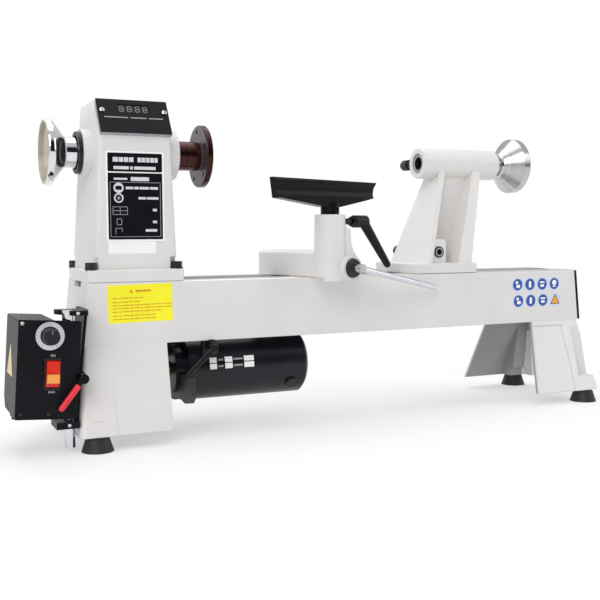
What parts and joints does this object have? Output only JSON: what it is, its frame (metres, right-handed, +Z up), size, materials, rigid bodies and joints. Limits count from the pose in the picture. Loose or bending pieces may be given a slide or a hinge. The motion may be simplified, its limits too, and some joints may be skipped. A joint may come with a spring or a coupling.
{
  "type": "wood lathe",
  "caption": "Bench-top wood lathe: cast bed on flared legs, headstock with digital readout, swivelling tool rest, tailstock with handwheel, motor below.",
  "frame": {"origin": "centre of the machine's outline at the height of the surface that the rubber feet stand on", "axes": "+X along the bed from headstock to tailstock, +Y away from the operator, +Z up"},
  "size_m": [0.822, 0.2144, 0.404],
  "materials": {
    "cast_paint": "warm grey-white hammered-smooth casting enamel, satin gloss",
    "black_paint": "black powder coat, fine texture",
    "grey_paint": "dark grey painted plate",
    "chrome": "polished chrome plate",
    "turned_steel": "turned bright steel",
    "black_oxide": "black-oxide steel, lightly oiled",
    "turned_aluminium": "turned aluminium",
    "rubber": "moulded black rubber",
    "abs_black": "moulded black ABS",
    "red_plastic": "moulded red plastic",
    "red_sleeve": "red PVC dip sleeve",
    "yellow_plastic": "moulded orange-yellow plastic",
    "grey_plate": "silver-grey anodised display housing",
    "print_plate": "black printed aluminium plate",
    "dial_silver": "brushed silver dial ring",
    "handle_black": "glass-filled nylon handle, fine texture",
    "zinc": "bright zinc-plated fasteners",
    "motor_black": "semi-gloss black motor enamel"
  },
  "bodies": {
    "stand": {"bed_casting": "cast_paint", "bed_end_plate": "black_paint", "foot_front_left": "rubber", "foot_front_right": "rubber", "foot_rear_left": "rubber", "foot_rear_right": "rubber", "foot_bolts": "zinc", "headstock_casting": "cast_paint", "headstock_bolts": "black_oxide", "display_housing": "grey_plate", "display_panel": "print_plate", "nameplate": "print_plate", "spindle_bearings": "turned_steel", "bearing_cover": "abs_black", "control_box": "black_paint", "control_panel": "black_paint", "control_bracket": "black_paint", "panel_screws": "zinc", "dial_plate": "dial_silver", "switch_frame": "abs_black", "cable_gland": "abs_black", "hinge_pins": "turned_steel", "drive_belt": "rubber"},
    "spindle_line": {"spindle": "turned_steel", "spindle_pulley": "turned_aluminium", "spindle_handwheel": "chrome", "faceplate": "black_oxide"},
    "motor": {"motor_shell": "motor_black", "motor_rear_bell": "motor_black", "motor_bracket": "grey_paint", "brush_caps": "abs_black"},
    "rotor": {"motor_armature": "turned_steel", "motor_pulley": "turned_aluminium"},
    "motor_lock": {"motor_lock_lever": "handle_black"},
    "tension": {"tension_lever": "black_oxide", "tension_grip": "red_sleeve"},
    "rest_carriage": {"banjo_clamp_plate": "black_oxide", "banjo_clamp_nut": "zinc"},
    "rest_bolt": {"banjo_clamp_bolt": "turned_steel"},
    "banjo": {"banjo_casting": "cast_paint"},
    "banjo_lever": {"banjo_cam_shaft": "turned_steel", "banjo_lever_bar": "chrome"},
    "rest_post": {"tool_rest_post": "black_oxide"},
    "rest_blade": {"tool_rest_blade": "black_oxide"},
    "rest_lock": {"rest_lock_lever": "handle_black"},
    "tailstock": {"tailstock_casting": "cast_paint", "tail_clamp_bolt": "turned_steel", "tail_clamp_plate": "black_oxide", "tail_clamp_nut": "zinc"},
    "quill": {"quill": "turned_steel"},
    "tail_wheel": {"tail_handwheel": "turned_aluminium", "feed_screw": "turned_steel"},
    "quill_lock": {"quill_lock_knob": "handle_black"},
    "tail_lever": {"tail_cam_shaft": "turned_steel", "tail_clamp_lever": "chrome"},
    "door": {"belt_door": "cast_paint"},
    "knob": {"speed_knob": "abs_black"},
    "paddle": {"switch_paddle": "red_plastic"},
    "key": {"safety_key": "yellow_plastic"},
    "knockout": {"knockout_rod": "chrome"}
  },
  "joints": [
    {"name": "spindle_spin", "type": "hinge", "parent": "stand", "child": "spindle_line", "pos_m": [-0.26199, 0.00771, 0.3424], "axis": [1, 0, 0], "continuous": true},
    {"name": "motor_swing", "type": "hinge", "parent": "stand", "child": "motor", "pos_m": [-0.20199, 0.04571, 0.098], "axis": [1, 0, 0], "range_deg": [-2, 3.5], "deforming": ["drive_belt"]},
    {"name": "motor_spin", "type": "hinge", "parent": "motor", "child": "rotor", "pos_m": [-0.20199, 0.00771, 0.0765], "axis": [1, 0, 0], "continuous": true},
    {"name": "motor_lock_turn", "type": "hinge", "parent": "stand", "child": "motor_lock", "pos_m": [-0.17299, -0.05229, 0.1075], "axis": [0, 1, 0], "range_deg": [-60, 60]},
    {"name": "tension_lever_swing", "type": "hinge", "parent": "stand", "child": "tension", "pos_m": [-0.33699, -0.08679, 0.086], "axis": [0, 1, 0], "range_deg": [-12, 21]},
    {"name": "rest_slide", "type": "slide", "parent": "stand", "child": "rest_carriage", "axis": [1, 0, 0], "range_m": [-0.095, 0.03]},
    {"name": "rest_swivel", "type": "hinge", "parent": "rest_carriage", "child": "rest_bolt", "pos_m": [-0.02599, 0.00771, 0.19], "axis": [0, 0, 1], "range_deg": [-40, 2]},
    {"name": "rest_reach", "type": "slide", "parent": "rest_bolt", "child": "banjo", "axis": [0.2756, -0.9613, 0], "range_m": [0, 0.035]},
    {"name": "banjo_lever_turn", "type": "hinge", "parent": "banjo", "child": "banjo_lever", "pos_m": [0.00157, -0.08842, 0.2018], "axis": [0.2756, -0.9613, 0], "range_deg": [-20, 150]},
    {"name": "rest_height", "type": "slide", "parent": "banjo", "child": "rest_post", "axis": [0, 0, 1], "range_m": [0, 0.035]},
    {"name": "rest_turn", "type": "hinge", "parent": "rest_post", "child": "rest_blade", "pos_m": [-0.01961, -0.06536, 0.27], "axis": [0, 0, 1], "range_deg": [-90, 90]},
    {"name": "rest_lock_turn", "type": "hinge", "parent": "banjo", "child": "rest_lock", "pos_m": [-0.00038, -0.05985, 0.2605], "axis": [0.9613, 0.2756, 0], "range_deg": [-120, 20]},
    {"name": "tail_slide", "type": "slide", "parent": "stand", "child": "tailstock", "axis": [1, 0, 0], "range_m": [-0.03, 0.165]},
    {"name": "tail_wheel_turn", "type": "hinge", "parent": "tailstock", "child": "tail_wheel", "pos_m": [0.29801, 0.00771, 0.3424], "axis": [-1, 0, 0], "range_deg": [0, 7200]},
    {"name": "quill_slide", "type": "slide", "parent": "tailstock", "child": "quill", "axis": [-1, 0, 0], "range_m": [0, 0.05]},
    {"name": "quill_lock_turn", "type": "hinge", "parent": "tailstock", "child": "quill_lock", "pos_m": [0.16201, 0.04771, 0.3424], "axis": [0, -1, 0], "range_deg": [-90, 90]},
    {"name": "tail_lever_turn", "type": "hinge", "parent": "tailstock", "child": "tail_lever", "pos_m": [0.16401, 0.00771, 0.2188], "axis": [0, 1, 0], "range_deg": [-60, 30]},
    {"name": "belt_door_swing", "type": "hinge", "parent": "stand", "child": "door", "pos_m": [-0.29799, 0.06071, 0.3], "axis": [0, 0, 1], "range_deg": [0, 110]},
    {"name": "speed_knob_turn", "type": "hinge", "parent": "stand", "child": "knob", "pos_m": [-0.37096, -0.07829, 0.13458], "axis": [0, 1, 0], "range_deg": [0, 290]},
    {"name": "switch_rock", "type": "hinge", "parent": "stand", "child": "paddle", "pos_m": [-0.36931, -0.07809, 0.09449], "axis": [0.9978, 0, -0.0663], "range_deg": [-10, 0]},
    {"name": "safety_key_pull", "type": "slide", "parent": "paddle", "child": "key", "axis": [0, -1, 0], "range_m": [0, 0.02]},
    {"name": "knockout_rod_lift", "type": "slide", "parent": "stand", "child": "knockout", "axis": [0, 0, 1], "range_m": [0, 0.15]}
  ],
  "couplings": [
    {"joint": "motor_spin", "follows": "spindle_spin", "ratio": 1.3636},
    {"joint": "tension_lever_swing", "follows": "motor_swing", "ratio": 6},
    {"joint": "quill_slide", "follows": "tail_wheel_turn", "m_per_rad": 0.00039789}
  ]
}
